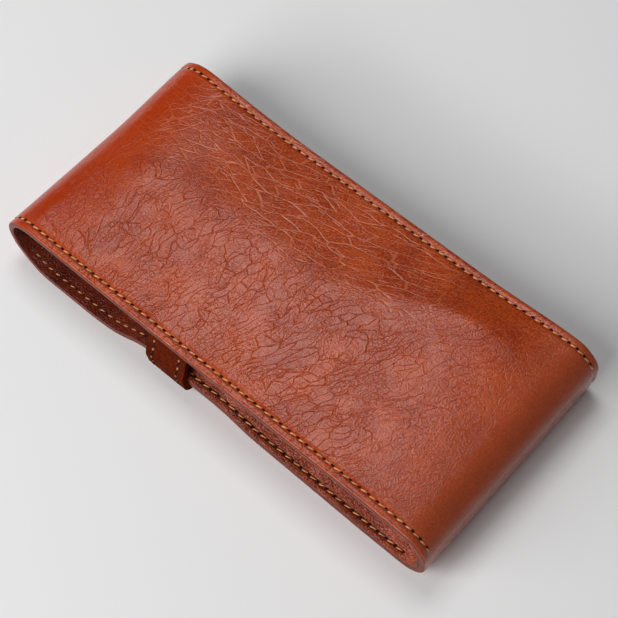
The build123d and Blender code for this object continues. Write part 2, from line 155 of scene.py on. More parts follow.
topSteps = [(topLength,), (foldRadius, hingeTurn - hair), (foldRadius, hair)]
casePath = (frontShape["mouth"], frontLevel, 0, frontSteps + bendSteps + topSteps)
foldSteps = [(foldRadius, hair), (foldRadius, hingeTurn - 2 * hair), (foldRadius, hair)]
foldPath = (*onFold(upperEnd), upperEnd + 90, foldSteps)
sweepStart = onFold(flapEnd - sweepTurn)
sweepRadius = sweepStart[1] / (1 - cos(radians(sweepTurn)))
sweepEndX = sweepStart[0] + sweepRadius * sin(radians(sweepTurn))
rampTurn = sTurn(flapShape["rampRun"], flapLevel)
rampRadius = sRadius(flapShape["rampRun"], flapLevel)
flapSteps = [
    (foldRadius, hair),
    (foldRadius, hingeTurn - sweepTurn - hair),
    (sweepRadius, sweepTurn),
    (flapShape["rampEnd"] - flapShape["rampRun"] - sweepEndX,),
    (rampRadius, rampTurn),
    (rampRadius, -rampTurn),
    (flapShape["end"] - flapShape["corner"] - flapShape["rampEnd"],),
    (flapShape["corner"] - flapShape["lastBit"],),
    (flapShape["lastBit"],),
]
flapPath = (*onFold(lowerEnd), lowerEnd + 90, flapSteps)


# Small helpers
def deselectAll():
    if bpy.context.object and bpy.context.object.mode != "OBJECT":
        bpy.ops.object.mode_set(mode="OBJECT")
    bpy.ops.object.select_all(action="DESELECT")


def makeActive(obj):
    deselectAll()
    obj.select_set(True)
    bpy.context.view_layer.objects.active = obj


def applyModifiers(obj):
    makeActive(obj)
    for modifier in list(obj.modifiers):
        bpy.ops.object.modifier_apply(modifier=modifier.name)


def smoothByAngle(obj, angle=40):
    makeActive(obj)
    bpy.ops.object.shade_smooth_by_angle(angle=radians(angle))


def ramp(low, high, value):
    return max(0.0, min(1.0, (value - low) / (high - low)))


def smoothStep(low, high, value):
    t = ramp(low, high, value)
    return t * t * (3 - 2 * t)


def plateau(riseStart, riseEnd, fallStart, fallEnd, value):
    return smoothStep(riseStart, riseEnd, value) * (1 - smoothStep(fallStart, fallEnd, value))


# Rows across the width: close together along the sewn edges, wider in the middle
rowShape = {"fine": 0.42, "fineBand": 6.0, "coarse": 1.3, "rim": 0.95}


def edgeRows(halfWidth):
    fineStart = halfWidth - rowShape["fineBand"]
    fineEnd = halfWidth - rowShape["rim"]
    coarse = round(fineStart / rowShape["coarse"])
    fine = round((fineEnd - fineStart) / rowShape["fine"])
    rows = [fineStart * i / coarse for i in range(coarse)]
    rows += [fineStart + (fineEnd - fineStart) * i / fine for i in range(fine + 1)]
    rows.append(halfWidth)
    return [-y for y in reversed(rows[1:])] + rows


# A strip of leather: a line across the width, extruded along straights and spun round bends
stripShape = {"cell": 1.2, "arcCell": 0.85, "weld": 1e-7}


def layStrip(name, path, rows, depth):
    x, z, angle, steps = path
    x -= sin(radians(angle)) * depth
    z += cos(radians(angle)) * depth
    deselectAll()
    bpy.ops.mesh.primitive_grid_add(x_subdivisions=1, y_subdivisions=len(rows) - 1, size=1)
    obj = bpy.context.object
    obj.name = name
    obj.data.name = name
    bpy.ops.object.mode_set(mode="EDIT")
    bpy.ops.mesh.select_all(action="DESELECT")
    bpy.ops.object.mode_set(mode="OBJECT")
    for v in obj.data.vertices:
        v.select = v.co.x > 0
    bpy.ops.object.mode_set(mode="EDIT")
    bpy.ops.mesh.delete(type="VERT")
    bpy.ops.object.mode_set(mode="OBJECT")
    for v, y in zip(sorted(obj.data.vertices, key=lambda v: v.co.y), rows):
        v.co = Vector((x, y, z)) * mm
    bpy.ops.object.mode_set(mode="EDIT")
    bpy.ops.mesh.select_mode(type="EDGE")
    bpy.ops.mesh.select_all(action="SELECT")
    for step in steps:
        if len(step) == 1:
            count = max(1, round(step[0] / stripShape["cell"]))
            dx = cos(radians(angle)) * step[0] / count
            dz = sin(radians(angle)) * step[0] / count
            for i in range(count):
                bpy.ops.mesh.extrude_region_move(TRANSFORM_OT_translate={"value": (dx * mm, 0, dz * mm)})
            x += dx * count
            z += dz * count
        else:
            side = 1 if step[1] > 0 else -1
            radius = step[0] - side * depth
            count = max(1, round(step[0] * radians(abs(step[1])) / stripShape["arcCell"]))
            cx = x - sin(radians(angle)) * radius * side
            cz = z + cos(radians(angle)) * radius * side
            bpy.ops.mesh.spin(
                steps=count, angle=radians(abs(step[1])), center=(cx * mm, 0, cz * mm), axis=(0, side, 0)
            )
            angle += step[1]
            x = cx + sin(radians(angle)) * radius * side
            z = cz - cos(radians(angle)) * radius * side
    bpy.ops.mesh.select_all(action="SELECT")
    bpy.ops.mesh.remove_doubles(threshold=stripShape["weld"])
    bpy.ops.object.mode_set(mode="OBJECT")
    faceOut(obj, path)
    return obj


def faceOut(obj, path):
    angle = path[2]
    outward = Vector((sin(radians(angle)), 0, -cos(radians(angle))))
    if obj.data.polygons[0].normal.dot(outward) < 0:
        makeActive(obj)
        bpy.ops.object.mode_set(mode="EDIT")
        bpy.ops.mesh.select_all(action="SELECT")
        bpy.ops.mesh.flip_normals()
        bpy.ops.object.mode_set(mode="OBJECT")


# The empty case has settled: a soft ridge runs along it, and the far side sags behind the ridge
swellShape = {
    "ridge": 1.4, "ridgeX": (-78.0, -58.0, 45.0, 80.0), "ridgeY": 4.0, "ridgeEndY": 27.0,
    "ridgeTurnX": (-5.0, 60.0), "wander": 3.0, "wanderLength": 17.0, "soften": 0.45, "seamY": 38.0,
    "sag": 1.7, "sagX": (-76.0, -30.0, 40.0, 84.0), "inward": 0.5, "inwardY": (10.0, 40.0),
    "broad": 0.35, "broadLength": 30.0, "broadWidth": 26.0,
    "small": 0.08, "smallLength": 10.0, "smallWidth": 9.0,
    "middleX": (-80.0, -66.0, 66.0, 82.0), "calmRim": 14.0, "topZ": (15.0, 21.5), "hangZ": (4.0, 21.0),
    "foldEase": 1.1, "foldEaseX": (-61.0, -76.0), "foldEaseY": (-42.0, 2.0),
    "bendEase": 0.7, "bendEaseX": (58.0, 76.0),
    "cornerOut": 1.1, "cornerX": (-84.0, -58.0), "cornerY": (5.0, 40.0),
}


def softMin(a, b, k):
    h = max(k - abs(a - b), 0.0) / k
    return min(a, b) - h * h * k * 0.25


def sagAt(x):
    return plateau(*swellShape["sagX"], x)


def ridgeLine(x):
    turn = smoothStep(*swellShape["ridgeTurnX"], x)
    wander = swellShape["wander"] * noise.noise(Vector((x / swellShape["wanderLength"], 1.3, 5.0)))
    return swellShape["ridgeY"] + (swellShape["ridgeEndY"] - swellShape["ridgeY"]) * turn + wander


def swell(x, y, z):
    top = smoothStep(*swellShape["topZ"], z)
    if top == 0.0:
        return 0.0
    seam = swellShape["seamY"]
    ridge = swellShape["ridge"] * plateau(*swellShape["ridgeX"], x)
    sag = swellShape["sag"] * sagAt(x)
    ridgeY = ridgeLine(x)
    near = ridge * max(0.0, (y + seam) / (ridgeY + seam))
    far = ridge - (ridge + sag) * (min(y, seam) - ridgeY) / (seam - ridgeY)
    h = softMin(near, far, swellShape["soften"])
    middle = smoothStep(0.0, swellShape["calmRim"], seam - abs(y)) * plateau(*swellShape["middleX"], x)
    broad = noise.noise(Vector((x / swellShape["broadLength"] + 3.1, y / swellShape["broadWidth"], 0.4)))
    small = noise.noise(Vector((x / swellShape["smallLength"], y / swellShape["smallWidth"] + 7.7, 2.2)))
    h += middle * (swellShape["broad"] * broad + swellShape["small"] * small)
    foldEase = ramp(*swellShape["foldEaseX"], x) ** 2 * smoothStep(*swellShape["foldEaseY"], y)
    bendEase = ramp(*swellShape["bendEaseX"], x) ** 2
    return (h - swellShape["foldEase"] * foldEase - swellShape["bendEase"] * bendEase) * top


# How far the far side has sunk and drawn in, for everything that hangs under the top
def slump(x, y, z):
    high = ramp(*swellShape["hangZ"], z)
    reach = ramp(swellShape["ridgeY"], swellShape["seamY"], y)
    inward = swellShape["inward"] * smoothStep(*swellShape["inwardY"], y)
    return Vector((0, -inward * sagAt(x) * high, -swellShape["sag"] * sagAt(x) * high * reach))


def flapSpread(x):
    wide = half + flapShape["flare"] * plateau(*flapShape["flareX"], x)
    wide -= (half - flapShape["halfEnd"]) * smoothStep(*flapShape["taperX"], x)
    start = flapShape["end"] - flapShape["corner"]
    if x > start:
        reach = min(x - start, flapShape["corner"])
        wide -= flapShape["corner"] - math.sqrt(max(0.0, flapShape["corner"] ** 2 - reach ** 2))
    return wide / half


# Where a point of the skins comes to lie, all in millimetres
def settled(point, outward, spread=False):
    x, y, z = point
    wide = y * flapSpread(x) if spread and z < middleZ else y
    drawn = slump(x, y, z).y
    corner = swellShape["cornerOut"] * smoothStep(*swellShape["cornerY"], y)
    corner *= 1 - smoothStep(*swellShape["cornerX"], x)
    return Vector((x - corner, wide + drawn + corner, z)) + outward * swell(x, y, z)


# The thread pulls a shallow groove, and the rim is rolled down beyond it
seamInset = {"back": 2.8, "front": 2.2, "flap": 2.8, "divider": 13.3}
backY = half - seamInset["back"]
frontY = half - seamInset["front"]
dipShape = {"groove": 0.3, "grooveWidth": 0.65, "roll": 0.1, "rollStart": 39.0, "frontTop": 12.0}


def seamDip(x, y, z, spread):
    onFront = not spread and z < dipShape["frontTop"] and x > frontShape["mouth"] - 1
    row = frontY if onFront else backY
    groove = dipShape["groove"] * math.exp(-((abs(y) - row) / dipShape["grooveWidth"]) ** 2)
    return groove + dipShape["roll"] * smoothStep(dipShape["rollStart"], half, abs(y))


def settle(obj, spread):
    normals = [v.normal.copy() for v in obj.data.vertices]
    dips = []
    for v, n in zip(obj.data.vertices, normals):
        x, y, z = v.co / mm
        dips.append(seamDip(x, y, z, spread))
        v.co = settled((x, y, z), n, spread) * mm
    return dips


# Thickness, then a soft bevel along the long edges and the free end
edgeShape = {"sharp": 0.5, "across": 0.9, "reach": 0.1, "segments": 4}


def thicken(obj, thickness, outerRound, innerRound, dips=None, freeX=None):
    count = len(obj.data.vertices)
    outward = [v.normal.copy() for v in obj.data.vertices]
    solid = obj.modifiers.new("thickness", "SOLIDIFY")
    solid.thickness = thickness * mm
    solid.offset = -1
    applyModifiers(obj)
    mesh = obj.data
    if dips:
        for i, dip in enumerate(dips):
            mesh.vertices[i].co -= outward[i] * dip * mm
    sides = {}
    for p in mesh.polygons:
        for key in p.edge_keys:
            sides.setdefault(key, []).append(p)
    weight = mesh.attributes.new("bevel_weight_edge", "FLOAT", "EDGE")
    biggest = max(outerRound, innerRound)
    for e in mesh.edges:
        faces = sides[tuple(sorted(e.vertices))]
        if len(faces) != 2 or faces[0].normal.dot(faces[1].normal) > edgeShape["sharp"]:
            continue
        low, high = (mesh.vertices[i] for i in e.vertices)
        across = abs((high.co - low.co).normalized().y) > edgeShape["across"]
        free = freeX is not None and low.co.z < middleZ * mm
        free = free and abs(low.co.x - freeX * mm) < edgeShape["reach"] * mm
        outer = low.index < count and high.index < count
        inner = low.index >= count and high.index >= count
        if (outer or inner) and (not across or free):
            weight.data[e.index].value = (outerRound if outer else innerRound) / biggest
    bevel = obj.modifiers.new("soft edge", "BEVEL")
    bevel.limit_method = "WEIGHT"
    bevel.width = biggest * mm
    bevel.segments = edgeShape["segments"]
    bevel.use_clamp_overlap = True
    applyModifiers(obj)


print("paths and helpers ready")


# Materials
def newMaterial(name):
    material = bpy.data.materials.new(name)
    material.use_nodes = True
    nodes = material.node_tree.nodes
    return material, nodes, material.node_tree.links, nodes["Principled BSDF"]


def addSocket(group, name, way, kind, value=None):
    socket = group.interface.new_socket(name=name, in_out=way, socket_type=kind)
    if value is not None:
        socket.default_value = value


def mathNode(nodes, links, operation, *values):
    node = nodes.new("ShaderNodeMath")
    node.operation = operation
    for i, value in enumerate(values):
        if isinstance(value, (int, float)):
            node.inputs[i].default_value = value
        else:
            links.new(value, node.inputs[i])
    return node.outputs[0]


def mapRange(nodes, links, value, fromLow, fromHigh, toLow=0.0, toHigh=1.0):
    node = nodes.new("ShaderNodeMapRange")
    node.interpolation_type = "SMOOTHSTEP"
    links.new(value, node.inputs["Value"])
    node.inputs["From Min"].default_value = fromLow
    node.inputs["From Max"].default_value = fromHigh
    node.inputs["To Min"].default_value = toLow
    node.inputs["To Max"].default_value = toHigh
    return node.outputs["Result"]


def vectorMath(nodes, links, operation, a, b=None, scale=None):
    node = nodes.new("ShaderNodeVectorMath")
    node.operation = operation
    links.new(a, node.inputs[0])
    if isinstance(b, tuple):
        node.inputs[1].default_value = b
    elif b is not None:
        links.new(b, node.inputs[1])
    if scale is not None:
        node.inputs["Scale"].default_value = scale
    return node.outputs["Value" if operation == "LENGTH" else "Vector"]


def noiseField(nodes, links, vector, size, detail, output="Fac"):
    field = nodes.new("ShaderNodeTexNoise")
    field.inputs["Scale"].default_value = 1.0 / size
    field.inputs["Detail"].default_value = detail
    links.new(vector, field.inputs["Vector"])
    return field.outputs[output]


def mixColor(nodes, links, factor, a, b):
    node = nodes.new("ShaderNodeMix")
    node.data_type = "RGBA"
    links.new(factor, node.inputs["Factor"])
    for name, value in (("A", a), ("B", b)):
        if isinstance(value, tuple):
            node.inputs[name].default_value = (*value, 1)
        else:
            links.new(value, node.inputs[name])
    return node.outputs["Result"]


# Full-grain leather, in millimetres. Nets: share of the crease size, stretch, line width, shift.
# Patches, where a net shows: size, low, high, shift. Warps: size, amount.
creaseShape = {
    "farY": (0.0, 14.0), "flowX": (20.0, 60.0),
    "endX": (30.0, 68.0), "end": 0.4, "foldX": (-80.0, -60.0), "fold": 0.45,
    "flowing": ((24.0, 16.0), (5.0, 3.4)), "ruffled": ((1.6, 0.9),), "drifting": ((24.0, 9.0), (5.0, 1.15)),
    "fan": 0.005, "lean": 0.22, "bow": 0.0022, "bowStart": 60.0, "overFold": -0.9, "curvedTurn": 30,
    "across": (0.8, (1.0, 2.9, 1.6), 0.045, 0.0), "fineNet": (0.34, (1.0, 1.3, 1.2), 0.1, 9.0),
    "along": (0.92, (4.4, 1.0, 1.0), 0.07, 4.0), "curved": (0.68, (2.8, 1.0, 1.0), 0.085, 17.0),
    "nearPatches": (9.0, 0.28, 0.5, 0.0), "farPatches": (9.0, 0.22, 0.42, 5.0),
    "finePatches": (7.0, 0.3, 0.6, 31.0),
    "acrossDepth": 0.85, "alongDepth": 0.66, "curvedDepth": 0.52, "softDepth": 0.9, "wornAndGlint": (0.25, 0.6),
    "grainSize": 0.55, "softSize": 3.6, "toneSize": 14.0, "calm": 0.5, "unshadedFar": 0.9,
}


def makeGrainGroup():
    group = bpy.data.node_groups.new("leatherGrain", "ShaderNodeTree")
    addSocket(group, "Vector", "INPUT", "NodeSocketVector")
    for name in ("Crease Size", "Creases", "Cells", "Grain", "Flow"):
        addSocket(group, name, "INPUT", "NodeSocketFloat", 1.0)
    for name in ("Height", "Crease Shade Mask", "Worn And Glint Lines", "Tone", "Pores"):
        addSocket(group, name, "OUTPUT", "NodeSocketFloat")
    nodes, links = group.nodes, group.links
    start = nodes.new("NodeGroupInput")
    end = nodes.new("NodeGroupOutput")
    place = vectorMath(nodes, links, "SCALE", start.outputs["Vector"], scale=1 / mm)

    def times(a, b):
        return mathNode(nodes, links, "MULTIPLY", a, b)

    def less(a, b):
        return mathNode(nodes, links, "SUBTRACT", a, b)

    def warp(vector, warps):
        for size, amount in warps:
            field = noiseField(nodes, links, place, size, 1.5, "Color")
            centred = vectorMath(nodes, links, "SUBTRACT", field, (0.5, 0.5, 0.5))
            moved = vectorMath(nodes, links, "SCALE", centred, scale=amount)
            vector = vectorMath(nodes, links, "ADD", vector, moved)
        return vector

    def aimed(vector, stretch, turn=0):
        aim = nodes.new("ShaderNodeMapping")
        aim.vector_type = "TEXTURE"
        aim.inputs["Rotation"].default_value = (0, 0, radians(turn))
        aim.inputs["Scale"].default_value = stretch
        links.new(vector, aim.inputs["Vector"])
        return aim.outputs["Vector"]

    def patches(size, low, high, shift):
        moved = vectorMath(nodes, links, "ADD", place, (shift, shift, 0.0))
        return mapRange(nodes, links, noiseField(nodes, links, moved, size, 2.0), low, high)

    # Thin lines round stretched cells
    def net(vector, share, stretch, width, shift, flat=False):
        moved = vectorMath(nodes, links, "ADD", vector, (shift, shift, 0.0))
        cell = nodes.new("ShaderNodeTexVoronoi")
        cell.feature = "DISTANCE_TO_EDGE"
        cell.voronoi_dimensions = "2D" if flat else "3D"
        links.new(aimed(moved, stretch), cell.inputs["Vector"])
        size = times(start.outputs["Crease Size"], share)
        links.new(mathNode(nodes, links, "DIVIDE", 1.0, size), cell.inputs["Scale"])
        return mapRange(nodes, links, cell.outputs["Distance"], 0.0, width, 1.0, 0.0)

    def offset(vector, x, y=None):
        step = nodes.new("ShaderNodeCombineXYZ")
        links.new(x, step.inputs["X"])
        if y is not None:
            links.new(y, step.inputs["Y"])
        return vectorMath(nodes, links, "SUBTRACT", vector, step.outputs[0])

    split = nodes.new("ShaderNodeSeparateXYZ")
    links.new(place, split.inputs[0])
    x, y, z = (split.outputs[axis] for axis in "XYZ")
    farSide = mapRange(nodes, links, y, *creaseShape["farY"])
    foldSide = mapRange(nodes, links, x, *creaseShape["flowX"], 1.0, 0.0)
    flow = times(times(farSide, foldSide), start.outputs["Flow"])
    smoothEnd = mapRange(nodes, links, x, *creaseShape["endX"], 1.0, creaseShape["end"])
    smoothFold = mapRange(nodes, links, x, *creaseShape["foldX"], creaseShape["fold"], 1.0)

    # On the near side the lines lie across, and fan out along the case
    flowing = warp(place, creaseShape["flowing"])
    lean = mathNode(nodes, links, "ADD", times(x, creaseShape["fan"]), creaseShape["lean"])
    across = net(offset(flowing, times(lean, y)), *creaseShape["across"])
    fineNet = net(warp(flowing, creaseShape["ruffled"]), *creaseShape["fineNet"])
    near = times(times(across, patches(*creaseShape["nearPatches"])), creaseShape["acrossDepth"])

    # On the far side they lie along, bow outwards and run on down over the fold
    reach = mathNode(nodes, links, "ADD", x, creaseShape["bowStart"])
    bow = times(times(reach, reach), creaseShape["bow"])
    bowed = offset(warp(place, creaseShape["drifting"]), times(z, creaseShape["overFold"]), bow)
    along = net(bowed, *creaseShape["along"], True)
    curved = net(aimed(bowed, (1.0, 1.0, 1.0), creaseShape["curvedTurn"]), *creaseShape["curved"], True)
    along = times(along, creaseShape["alongDepth"])
    curved = times(curved, creaseShape["curvedDepth"])
    far = times(mathNode(nodes, links, "MAXIMUM", along, curved), patches(*creaseShape["farPatches"]))
    # Lighter far-side crease lines: painted highlight where the crease flanks catch the light, and the
    # lighter pull-up of worn creases
    wornAndGlint = times(mapRange(nodes, links, far, *creaseShape["wornAndGlint"]), times(flow, smoothFold))

    lines = mathNode(nodes, links, "ADD", times(near, less(1.0, flow)), times(far, flow))
    lines = times(lines, start.outputs["Creases"])
    small = times(times(fineNet, patches(*creaseShape["finePatches"])), start.outputs["Cells"])
    lines = times(times(mathNode(nodes, links, "MAXIMUM", lines, small), smoothEnd), smoothFold)
    grain = times(noiseField(nodes, links, place, creaseShape["grainSize"], 2.0), start.outputs["Grain"])
    grain = times(grain, less(1.0, times(flow, creaseShape["calm"])))
    soft = times(noiseField(nodes, links, place, creaseShape["softSize"], 2.0), creaseShape["softDepth"])
    # Painted shade: the crease lines darken the colour, less on the far side where their flanks catch the
    # light
    creaseShadeLines = times(lines, less(1.0, times(flow, creaseShape["unshadedFar"])))
    links.new(less(mathNode(nodes, links, "ADD", grain, soft), lines), end.inputs["Height"])
    links.new(creaseShadeLines, end.inputs["Crease Shade Mask"])
    links.new(times(wornAndGlint, start.outputs["Creases"]), end.inputs["Worn And Glint Lines"])
    links.new(noiseField(nodes, links, place, creaseShape["toneSize"], 6.0), end.inputs["Tone"])
    links.new(noiseField(nodes, links, place, creaseShape["grainSize"], 1.0), end.inputs["Pores"])
    return group


grainGroup = makeGrainGroup()
tintShape = {
    "tone": 0.4, "pores": 0.6, "span": (0.36, 0.64), "bendToneX": (0.06, 0.086), "foldX": (-0.055, -0.08),
    "most": 0.75, "wornAndGlint": 0.42,
}


def leather(name, settings):
    material, nodes, links, shader = newMaterial(name)
    where = nodes.new("ShaderNodeTexCoord")
    grain = nodes.new("ShaderNodeGroup")
    grain.node_tree = grainGroup
    links.new(where.outputs["Object"], grain.inputs["Vector"])
    for socket in ("Crease Size", "Creases", "Cells", "Grain", "Flow"):
        grain.inputs[socket].default_value = settings[socket]
    tone = mathNode(nodes, links, "MULTIPLY", grain.outputs["Tone"], tintShape["tone"])
    pores = mathNode(nodes, links, "MULTIPLY", grain.outputs["Pores"], tintShape["pores"])
    tone = mapRange(nodes, links, mathNode(nodes, links, "ADD", tone, pores), *tintShape["span"])
    color = mixColor(nodes, links, tone, settings["dark"], settings["light"])
    # The colour turns browner towards the rounded end and redder towards the fold end
    if "bendTone" in settings:
        place = nodes.new("ShaderNodeSeparateXYZ")
        links.new(where.outputs["Object"], place.inputs[0])
        for tint, span in (("bendTone", tintShape["bendToneX"]), ("fold", tintShape["foldX"])):
            end = mapRange(nodes, links, place.outputs["X"], *span, 0.0, tintShape["most"])
            color = mixColor(nodes, links, end, color, settings[tint])
        # Painted highlight and pull-up wear: the far-side crease lines turn lighter
        wornAndGlint = mathNode(nodes, links, "MULTIPLY", grain.outputs["Worn And Glint Lines"], tintShape["wornAndGlint"])
        color = mixColor(nodes, links, wornAndGlint, color, settings["wornAndGlint"])
    # Painted shade in the creases: the colour darkens along the crease lines
    lineShade = mathNode(nodes, links, "MULTIPLY", grain.outputs["Crease Shade Mask"], settings["lineShade"])
    color = mixColor(nodes, links, lineShade, color, settings["creaseShade"])
    links.new(color, shader.inputs["Base Color"])
    shader.inputs["Roughness"].default_value = settings["rough"]
    shader.inputs["Specular IOR Level"].default_value = settings["specular"]
    bump = nodes.new("ShaderNodeBump")
    bump.inputs["Strength"].default_value = 1.0
    bump.inputs["Distance"].default_value = settings["depth"] * mm
    links.new(grain.outputs["Height"], bump.inputs["Height"])
    links.new(bump.outputs["Normal"], shader.inputs["Normal"])
    return material


outerLeather = leather("outerLeather", {
    "Crease Size": 3.6, "Creases": 1.0, "Cells": 0.35, "Grain": 1.0, "Flow": 1.0,
    "dark": (0.29, 0.028, 0.003), "light": (0.52, 0.074, 0.009), "creaseShade": (0.2, 0.02, 0.004),
    "bendTone": (0.37, 0.076, 0.032), "fold": (0.43, 0.034, 0.002), "wornAndGlint": (0.66, 0.2, 0.09),
    "lineShade": 0.45, "rough": 0.21, "specular": 0.4, "depth": 0.1,
})
# The lining leather is painted darker than its own colour: painted shade under the top panel, also on the
# dividers
shadedLiningLeather = leather("shadedLiningLeather", {
    "Crease Size": 2.2, "Creases": 0.5, "Cells": 1.0, "Grain": 2.4, "Flow": 0.0,
    "dark": (0.08, 0.008, 0.002), "light": (0.24, 0.03, 0.009), "creaseShade": (0.06, 0.006, 0.002),
    "lineShade": 0.5, "rough": 0.22, "specular": 0.45, "depth": 0.16,
})
# The gussets are lining leather painted lighter: painted light on the lit flange
gussetLeather = leather("gussetLeather", {
    "Crease Size": 2.0, "Creases": 0.5, "Cells": 1.4, "Grain": 3.6, "Flow": 0.0,
    "dark": (0.22, 0.03, 0.01), "light": (0.48, 0.1, 0.043), "creaseShade": (0.09, 0.01, 0.003),
    "lineShade": 0.6, "rough": 0.24, "specular": 0.6, "depth": 0.14,
})
strapLeather = leather("strapLeather", {
    "Crease Size": 1.2, "Creases": 0.1, "Cells": 0.1, "Grain": 1.0, "Flow": 0.0,
    "dark": (0.055, 0.0055, 0.001), "light": (0.12, 0.014, 0.002), "creaseShade": (0.04, 0.005, 0.001),
    "lineShade": 0.4, "rough": 0.95, "specular": 0.04, "depth": 0.14,
})

# Paint and thread: one colour, in fine darker and lighter specks
speckShape = {"size": 1 / 700, "detail": 3.0, "span": (0.35, 0.65), "darker": 0.72, "lighter": 1.2}


def plainFinish(name, color, rough, specular):
    material, nodes, links, shader = newMaterial(name)
    where = nodes.new("ShaderNodeTexCoord")
    speck = noiseField(nodes, links, where.outputs["Object"], speckShape["size"], speckShape["detail"])
    dark = tuple(c * speckShape["darker"] for c in color)
    light = tuple(c * speckShape["lighter"] for c in color)
    tint = mixColor(nodes, links, mapRange(nodes, links, speck, *speckShape["span"]), dark, light)
    links.new(tint, shader.inputs["Base Color"])
    shader.inputs["Roughness"].default_value = rough
    shader.inputs["Specular IOR Level"].default_value = specular
    return material


edgePaint = plainFinish("edgePaint", (0.125, 0.017, 0.005), 0.36, 0.22)
seamThread = plainFinish("seamThread", (0.58, 0.25, 0.085), 0.45, 0.5)
strapThread = plainFinish("strapThread", (0.016, 0.006, 0.003), 0.8, 0.1)
strapHole = plainFinish("strapHole", (0.35, 0.16, 0.06), 0.6, 0.3)
# The needle holes are dark patches on the surface: painted shade in the holes
needleHoleShade = plainFinish("needleHoleShade", (0.02, 0.005, 0.003), 0.8, 0.1)
print("materials ready")

# Edge paint goes on the faces that look out along the rims and at a free end
paintShape = {"sideLook": 0.72, "sideY": 26.0, "endLook": 0.87, "endReach": 1.2}


def paintEdges(obj, main, freeX=None, sideY=paintShape["sideY"]):
    obj.data.materials.clear()
    obj.data.materials.append(main)
    obj.data.materials.append(edgePaint)
    for p in obj.data.polygons:
        x, y, z = p.center / mm
        side = abs(y) > sideY and p.normal.y * y > paintShape["sideLook"] * abs(y)
        end = freeX is not None and z < middleZ and abs(x - freeX) < paintShape["endReach"]
        end = end and abs(p.normal.z) < paintShape["endLook"]
        p.material_index = 1 if side or end else 0


# The hide and its lining, in three pieces that meet round the fold
rows = edgeRows(half)
skinShape = {"hideRounds": (0.6, 0.03), "liningRounds": (0.03, 0.45)}
skinPieces = [
    ("back", casePath, "case", "fold_upper", "outer_shell", "shell_lining", frontShape["mouth"]),
    ("fold", foldPath, "fold_upper", "fold_lower", "fold_*_outer", "fold_*_lining", None),
    ("flap", flapPath, "fold_lower", "flap", "flap_outer", "flap_lining", flapShape["end"]),
]


def bendWith(obj, parent, child):
    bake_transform(obj)


def solidNames(pattern):
    return [pattern.replace("*", part) for part in ("upper", "lower")] if "*" in pattern else [pattern]


def laySkin(name, path, depth, thickness, rounds, material, solids, joint, freeX):
    strip = layStrip(name, path, rows, depth)
    dips = settle(strip, not name.startswith("back"))
    thicken(strip, thickness, *rounds, dips if depth == 0 else None, freeX)
    paintEdges(strip, material, freeX)
    smoothByAngle(strip)
    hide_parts(*solidNames(solids))
    bendWith(strip, *joint)


for part, path, parent, child, hideSolid, liningSolid, freeX in skinPieces:
    laySkin(part + "Hide", path, 0, caseSize["hide"], skinShape["hideRounds"], outerLeather,
            hideSolid, (parent, child), freeX)
    laySkin(part + "Lining", path, caseSize["hide"], caseSize["lining"], skinShape["liningRounds"],
            shadedLiningLeather, liningSolid, (parent, child), freeX)
print("hide and lining laid")

# Gussets and dividers: the solids cut into bays, settled and softened
bayShape = {
    "bays": range(-66, 74, 6), "weld": 1e-6, "flat": 0.5, "sharp": 50, "segments": 2, "shading": 35,
    "rimY": 39.5, "rimZ": 12.0, "rimIn": 0.7, "paintY": 38.5, "gussetRound": 0.25, "dividerRound": 0.2,
}


def softCopy(name, node, material, radius):
    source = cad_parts[node]
    obj = source.copy()
    obj.data = source.data.copy()
    obj.name = name
    obj.data.name = name
    for key in list(obj.keys()):
        del obj[key]
    obj.parent = None
    obj.matrix_world = Matrix.Identity(4)
    bpy.context.collection.objects.link(obj)
    makeActive(obj)
    bpy.ops.object.mode_set(mode="EDIT")
    bpy.ops.mesh.select_all(action="SELECT")
    bpy.ops.mesh.remove_doubles(threshold=bayShape["weld"])
    bpy.ops.mesh.dissolve_limited(angle_limit=radians(bayShape["flat"]))
    for x in bayShape["bays"]:
        bpy.ops.mesh.select_all(action="SELECT")
        bpy.ops.mesh.bisect(plane_co=(x * mm, 0, 0), plane_no=(1, 0, 0))
    bpy.ops.object.mode_set(mode="OBJECT")
    bevel = obj.modifiers.new("soft edge", "BEVEL")
    bevel.limit_method = "ANGLE"
    bevel.angle_limit = radians(bayShape["sharp"])
    bevel.width = radius * mm
    bevel.segments = bayShape["segments"]
    applyModifiers(obj)
    for v in obj.data.vertices:
        x, y, z = v.co / mm
        if abs(y) > bayShape["rimY"] and z > bayShape["rimZ"]:
            y -= math.copysign(bayShape["rimIn"], y)
        v.co = (Vector((x, y, z)) + slump(x, y, z)) * mm
    paintEdges(obj, material, sideY=bayShape["paintY"])
    smoothByAngle(obj, bayShape["shading"])
    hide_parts(node)
    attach(obj, "case")


for side in ("left", "right"):
    softCopy("gusset." + side, "gusset_" + side, gussetLeather, bayShape["gussetRound"])
    softCopy("divider." + side, "divider_" + side, shadedLiningLeather, bayShape["dividerRound"])
print("gussets and dividers ready")

